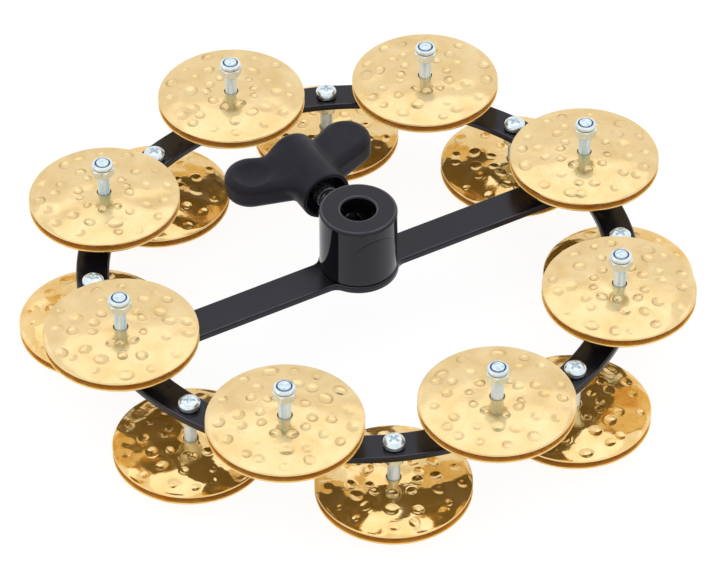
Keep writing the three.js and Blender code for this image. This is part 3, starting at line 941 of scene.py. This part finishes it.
def knob_field(points):
    """Signed distance to the knob's surface; the screw's axis is y, and y is 0 at the front.

    Each wing meets the barrel with a wide blend on one face and a tight one on the other.
    """
    x, y, z = points[..., 0], points[..., 1], points[..., 2]
    away = np.hypot(x, z)
    from_middle = y - BARREL_LENGTH / 2
    edge = np.where(from_middle > 0, BARREL_REAR_EDGE, BARREL_FRONT_EDGE)
    barrel = rounded_box_field(away, from_middle, BARREL_RADIUS, BARREL_LENGTH / 2, edge)
    over = wing_plan(np.abs(x), y)
    wing = rounded_box_field(over + WING_TIP_RADIUS, z, WING_TIP_RADIUS, WING_THICKNESS / 2, WING_EDGE)
    wide = smooth_step(0.5 - x * z / BLEND_RUN**2)
    knob = blended(barrel, wing, TIGHT_BLEND + (WIDE_BLEND - TIGHT_BLEND) * wide)
    ball = (THUMB_RADIUS**2 + THUMB_DEPTH**2) / (2 * THUMB_DEPTH)
    rise = WING_THICKNESS / 2 - THUMB_DEPTH + ball
    for side in (-1, 1):
        centre = np.array([side * THUMB_ACROSS, THUMB_ALONG, -side * rise])
        thumb = np.linalg.norm(points - centre, axis=-1) - ball
        knob = -blended(-knob, thumb, THUMB_BLEND)
    mouth = np.maximum(away - MOUTH_RADIUS, y - MOUTH_DEPTH)
    knob = -blended(-knob, mouth, HOLLOW_BLEND)
    hole = np.maximum(away - KNOB_HOLE_RADIUS, y - KNOB_HOLE_DEPTH)
    return -blended(-knob, hole, HOLLOW_BLEND)


def field_shell(field, low, high, cell):
    """Closed quad mesh where a signed distance is zero, with its points moved onto the surface."""
    counts = [int(math.ceil((high[i] - low[i]) / cell)) + 1 for i in range(3)]
    axes = [low[i] + cell * np.arange(counts[i]) for i in range(3)]
    grid = np.stack(np.meshgrid(*axes, indexing="ij"), axis=-1)
    inside = field(grid) < 0
    corners = sum(
        inside[i : counts[0] - 1 + i, j : counts[1] - 1 + j, k : counts[2] - 1 + k].astype(int)
        for i in (0, 1) for j in (0, 1) for k in (0, 1)
    )
    mixed = (corners > 0) & (corners < 8)
    numbers = np.full(mixed.shape, -1)
    numbers[mixed] = np.arange(mixed.sum())
    vertices = grid[:-1, :-1, :-1][mixed] + cell / 2
    for _ in range(KNOB_STEPS):
        value, slope = slope_of(field, vertices)
        vertices = vertices - slope * value[:, None]
    return vertices, np.vstack([crossing_faces(inside, numbers, axis) for axis in range(3)])


def slope_of(field, points):
    """A field's value and unit slope at points."""
    step = 0.02 * MM
    value = field(points)
    slope = np.empty_like(points)
    for axis in range(3):
        shift = np.zeros(3)
        shift[axis] = step
        slope[:, axis] = field(points + shift) - field(points - shift)
    length = np.linalg.norm(slope, axis=1, keepdims=True)
    return value, slope / np.maximum(length, 1e-12)


def crossing_faces(inside, numbers, axis):
    """Quads round the grid edges along one axis whose ends lie on different sides."""
    first, second = [i for i in (0, 1, 2) if i != axis]
    solid = np.moveaxis(inside, (axis, first, second), (0, 1, 2))
    cells = np.moveaxis(numbers, (axis, first, second), (0, 1, 2))
    start = solid[:-1, 1:-1, 1:-1]
    end = solid[1:, 1:-1, 1:-1]
    i, j, k = np.nonzero(start != end)
    quads = np.column_stack([cells[i, j, k], cells[i, j + 1, k], cells[i, j + 1, k + 1], cells[i, j, k + 1]])
    outward = start[i, j, k]
    if axis == 1:
        outward = ~outward
    quads[~outward] = quads[~outward][:, ::-1]
    return quads


def make_knob(materials):
    """Moulded barrel with two wings and two thumb recesses, blended into one form."""
    low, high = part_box("wing_knob")
    reach = high.x + KNOB_MARGIN
    deep = BARREL_RADIUS + KNOB_MARGIN
    start = np.array([-reach, -KNOB_MARGIN, -deep])
    end = np.array([reach, high.y - low.y + KNOB_MARGIN, deep])
    vertices, faces = field_shell(knob_field, start, end, KNOB_CELL)
    mesh = mesh_of("moulded_knob", [(vertices, faces)], materials["soft_grip"], sharp=math.radians(60))
    place = Matrix.Translation((0, low.y, (low.z + high.z) / 2)) @ Matrix.Rotation(-WING_TURN, 4, "Y")
    add_piece("moulded_knob", mesh, "wing_knob", ["wing_knob"], place)


# Jingles


def dent_list(draw, crispness):
    """Places, sizes and crispness of one disc's hammer marks."""
    dents = []
    for (count, reach, spread, width), crisp in zip(DENT_RINGS, crispness):
        start = draw.uniform(0, TAU)
        for i in range(count):
            angle = start + (i + draw.uniform(-DENT_STRAY, DENT_STRAY)) * TAU / count
            radius = reach + draw.uniform(-spread, spread)
            size = draw.uniform(*width)
            depth = draw.uniform(*DENT_DEPTH) * (DENT_SHALLOW + (1 - DENT_SHALLOW) * crisp)
            sharpness = np.clip(crisp + draw.uniform(*CRISPNESS_SPREAD), 0.1, 1)
            stretch = 1 + draw.uniform(*DENT_STRETCH)
            dents.append((angle, radius, size, depth, sharpness, stretch))
    return dents


def wave_list(draw, warp):
    """Turns per metre along x and y, phase and height of each of one disc's soft waves."""
    waves = []
    for _ in range(WAVE_COUNT):
        heading = draw.uniform(0, TAU)
        length = draw.uniform(*WAVE_LENGTH)
        rise = draw.uniform(warp / 3, warp) * length / WARP_LENGTH
        phase = draw.uniform(0, TAU)
        waves.append((TAU / length * math.cos(heading), TAU / length * math.sin(heading), phase, rise))
    return waves


def dent_frame(x, y, turn, reach, size, stretch):
    """Distance from a dent's middle, where 1 is its edge, and the direction from there."""
    out = x * math.cos(turn) + y * math.sin(turn) - reach
    side = (-x * math.sin(turn) + y * math.cos(turn)) / stretch
    return np.hypot(out, side) / size, np.arctan2(side, out)


def dent_painted_shade(x, y, dents, draw):
    """Painted shade on the dents' edges at points of a face, each edge darkest on one side."""
    painted_dent_shade = np.zeros_like(x)
    for turn, reach, size, _, sharpness, stretch in dents:
        away, heading = dent_frame(x, y, turn, reach, size, stretch)
        facing = np.maximum(np.cos(heading - draw.uniform(0, TAU)), 0)
        side = DENT_SHADE_LEAST + (1 - DENT_SHADE_LEAST) * facing
        edge = np.exp(-(((away - DENT_SHADE_PLACE) / DENT_SHADE_WIDTH) ** 2))
        painted_dent_shade = np.maximum(painted_dent_shade, sharpness * side * edge)
    return painted_dent_shade


def dented_height(radius, angle, dents, waves, lip_rise):
    """Height of a hammered face above its rim."""
    height = JINGLE_DOME * (1 - (radius / JINGLE_RADIUS) ** 2)
    x = radius * np.cos(angle)
    y = radius * np.sin(angle)
    fade = smooth_step((radius - JINGLE_HOLE_RADIUS) / WAVE_FADE[0])
    fade = fade * smooth_step((JINGLE_RADIUS - radius) / WAVE_FADE[1])
    for wave_x, wave_y, phase, rise in waves:
        height = height + fade * rise * np.sin(wave_x * x + wave_y * y + phase)
    for turn, reach, size, depth, sharpness, stretch in dents:
        away, _ = dent_frame(x, y, turn, reach, size, stretch)
        bowl = depth * np.maximum(1 - away**2, 0)
        soft = depth * np.exp(-DENT_FALLOFF * away**2)
        lip = lip_rise * sharpness * np.exp(-(((away - LIP_PLACE) / LIP_WIDTH) ** 2))
        height = height - sharpness * bowl - (1 - sharpness) * soft + lip
    return height


def disc_section(first, last):
    """Closed profile of a flat disc with rounded edges, its outer face at height 0."""
    edge = JINGLE_RIM_EDGE
    bend = np.radians(np.linspace(0, 180, 7))[1:-1]
    rows = [(radius, 0.0) for radius in np.linspace(first, last, OUTER_ROWS)]
    for turn in bend:
        rows.append((last + edge * math.sin(turn), -JINGLE_SHEET / 2 * (1 - math.cos(turn))))
    for radius in np.linspace(last, first, INNER_ROWS):
        rows.append((radius, -JINGLE_SHEET))
    for turn in bend:
        rows.append((first - edge * math.sin(turn), -JINGLE_SHEET / 2 * (1 + math.cos(turn))))
    return np.array(rows)[::-1]


def jingle_mesh(name, draw, side):
    """Thin domed disc with a hole, waves and hammer marks, its outer face's rim at height 0."""
    dents = dent_list(draw, CRISPNESS[side])
    waves = wave_list(draw, WARP[side])
    first = JINGLE_HOLE_RADIUS + JINGLE_RIM_EDGE
    last = JINGLE_RADIUS - JINGLE_RIM_EDGE
    section = disc_section(first, last)
    points = turned(section, JINGLE_COLUMNS)
    angles = angles_of(JINGLE_COLUMNS)[None, :]
    on_face = np.clip(section[:, :1], first, last) + 0 * angles
    points[..., 2] += dented_height(on_face, angles + 0 * on_face, dents, waves, DENT_LIP[side])
    mesh = mesh_of(name, [shell(points, wrap_rows=True)], sharp=math.radians(75))
    for face in mesh.polygons:
        face.material_index = int(face.normal.z < -0.5)
    # painted shade on the dents' edges, kept on the mesh's points
    places = np.array([vertex.co for vertex in mesh.vertices])
    values = mesh.attributes.new(DENT_SHADE, "FLOAT", "POINT")
    values.data.foreach_set("value", dent_painted_shade(places[:, 0], places[:, 1], dents, draw))
    return mesh


def make_jingles(materials, draw):
    """Sixteen pairs of discs, the lower one of each pair turned over."""
    # the lower discs get the shaded copy of the brass
    outer_finish = {"upper": materials["hammered_brass"], "lower": materials["shaded_brass"]}
    for side in SIDES:
        meshes = [jingle_mesh(f"{side}_disc_form_{i}", draw, side) for i in range(JINGLE_VARIANTS)]
        number = 0
        for station in STATIONS:
            tilt_way = draw.uniform(0, TAU)
            tilt_axis = Vector((math.cos(tilt_way), math.sin(tilt_way), 0))
            tilt = Matrix.Rotation(draw.uniform(0, PAIR_TILT), 4, tilt_axis)
            pair_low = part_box(f"{side}_jingle_{station}_low")
            pair_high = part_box(f"{side}_jingle_{station}_high")
            centre = (pair_low[0] + pair_high[1]) / 2
            for disc in ("low", "high"):
                node = f"{side}_jingle_{station}_{disc}"
                dome = 1 if disc == "high" else -1
                rim = JINGLE_SHEET + RIM_GAP / 2
                spin = Matrix.Rotation(draw.uniform(0, TAU), 4, "Z")
                flip = Matrix() if disc == "high" else Matrix.Rotation(math.pi, 4, "X")
                lift = Matrix.Translation((0, 0, dome * rim))
                place = Matrix.Translation(centre) @ tilt @ lift @ flip @ spin
                mesh = meshes[number % JINGLE_VARIANTS]
                number += VARIANT_STEP[disc]
                name = f"{side}_disc_{station}_{disc}"
                piece = add_piece(name, mesh, node, [node], place)
                piece.data.materials.append(outer_finish[side])
                # inner face, brightened as painted bounce light in the gap
                piece.data.materials.append(materials["gap_bounce_brass"])


# Studio


def add_camera():
    data = bpy.data.cameras.new("view")
    data.sensor_fit = "HORIZONTAL"
    data.sensor_width = SENSOR_WIDTH
    data.lens = CAMERA_FOCAL_PIXELS / IMAGE_WIDTH * SENSOR_WIDTH
    data.clip_start = 0.05
    data.clip_end = 20
    camera = add_object("view", data)
    aim = Vector((*CAMERA_AIM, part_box("frame_plate")[1].z))
    turn = Matrix.Rotation(CAMERA_AZIMUTH, 4, "Z") @ Matrix.Rotation(math.pi / 2 - CAMERA_ELEVATION, 4, "X")
    back = turn @ Vector((0, 0, CAMERA_DISTANCE))
    camera.matrix_world = Matrix.Translation(aim + back) @ turn @ Matrix.Rotation(CAMERA_ROLL, 4, "Z")
    bpy.context.scene.camera = camera


def direct_ray_factor(tree):
    """1 for rays from the camera, from gloss and through glass, else 0."""
    path = tree.nodes.new("ShaderNodeLightPath")
    total = path.outputs["Is Camera Ray"]
    for name in ("Is Glossy Ray", "Is Transmission Ray"):
        node = tree.nodes.new("ShaderNodeMath")
        node.operation = "MAXIMUM"
        tree.links.new(total, node.inputs[0])
        tree.links.new(path.outputs[name], node.inputs[1])
        total = node.outputs[0]
    return total


def two_looks(tree, light, seen, output):
    """Uses one shader for the light and another for what the camera and gloss see."""
    mix = tree.nodes.new("ShaderNodeMixShader")
    tree.links.new(direct_ray_factor(tree), mix.inputs["Fac"])
    tree.links.new(light.outputs[0], mix.inputs[1])
    tree.links.new(seen.outputs[0], mix.inputs[2])
    tree.links.new(mix.outputs[0], tree.nodes[output].inputs["Surface"])


def add_world():
    """White background for what the camera and gloss see, softer light for the rest."""
    world = bpy.data.worlds.new("studio")
    bpy.context.scene.world = world
    world.use_nodes = True
    tree = world.node_tree
    light = fill(tree.nodes["Background"], Color=(1, 1, 1, 1), Strength=WORLD_LIGHT)
    white = fill(tree.nodes.new("ShaderNodeBackground"), Color=(1, 1, 1, 1), Strength=1.0)
    two_looks(tree, light, white, "World Output")


def add_floor():
    """Pale floor that looks white where nothing shades it."""
    size = FLOOR_SIZE
    mesh = bpy.data.meshes.new("floor")
    corners = [(-size, -size, 0), (size, -size, 0), (size, size, 0), (-size, size, 0)]
    mesh.from_pydata(corners, [], [(0, 1, 2, 3)])
    floor = add_object("floor", mesh)
    floor.location.z = -FLOOR_DROP
    material = bpy.data.materials.new("pale_floor")
    material.use_nodes = True
    tree = material.node_tree
    plain = fill(tree.nodes["Principled BSDF"], Base_Color=(0.8, 0.8, 0.8, 1), Roughness=0.9)
    seen = fill(tree.nodes.new("ShaderNodeBsdfDiffuse"), Color=(0.2, 0.2, 0.2, 1))
    glow = fill(tree.nodes.new("ShaderNodeEmission"), Strength=FLOOR_GLOW)
    shown = tree.nodes.new("ShaderNodeAddShader")
    tree.links.new(seen.outputs[0], shown.inputs[0])
    tree.links.new(glow.outputs[0], shown.inputs[1])
    two_looks(tree, plain, shown, "Material Output")
    mesh.materials.append(material)


def add_lamp(name, azimuth, elevation, distance, size, power):
    """Square soft lamp aimed at the tambourine, azimuth measured like the camera's."""
    data = bpy.data.lights.new(name, "AREA")
    data.shape = "SQUARE"
    data.size = size
    data.energy = power
    lamp = add_object(name, data)
    lean = Matrix.Rotation(math.pi / 2 - math.radians(elevation), 4, "X")
    turn = Matrix.Rotation(math.radians(azimuth), 4, "Z") @ lean
    lamp.matrix_world = Matrix.Translation(turn @ Vector((0, 0, distance))) @ turn


def add_studio():
    add_camera()
    add_world()
    add_floor()
    add_lamp("key", azimuth=150, elevation=62, distance=1.6, size=1.0, power=1.1)
    add_lamp("fill", azimuth=-110, elevation=40, distance=1.8, size=1.2, power=1.0)
    view = bpy.context.scene.view_settings
    view.view_transform = "Standard"


def make_materials():
    makers = (coated_steel, painted_edge_highlight, gloss_coat, dark_steel, soft_grip, zinc_steel, painted_shine_zinc,
              hammered_brass, shaded_brass, gap_bounce_brass, blue_nylon, plain_sticker)
    return {maker.__name__: maker() for maker in makers}


def make_tambourine():
    draw = np.random.default_rng(RANDOM_SEED)
    materials = make_materials()
    make_plate(materials)
    make_hub(materials)
    make_sticker(materials)
    make_clamp_screw(materials)
    make_knob(materials)
    make_fasteners(materials, draw)
    make_jingles(materials, draw)


add_studio()
make_tambourine()
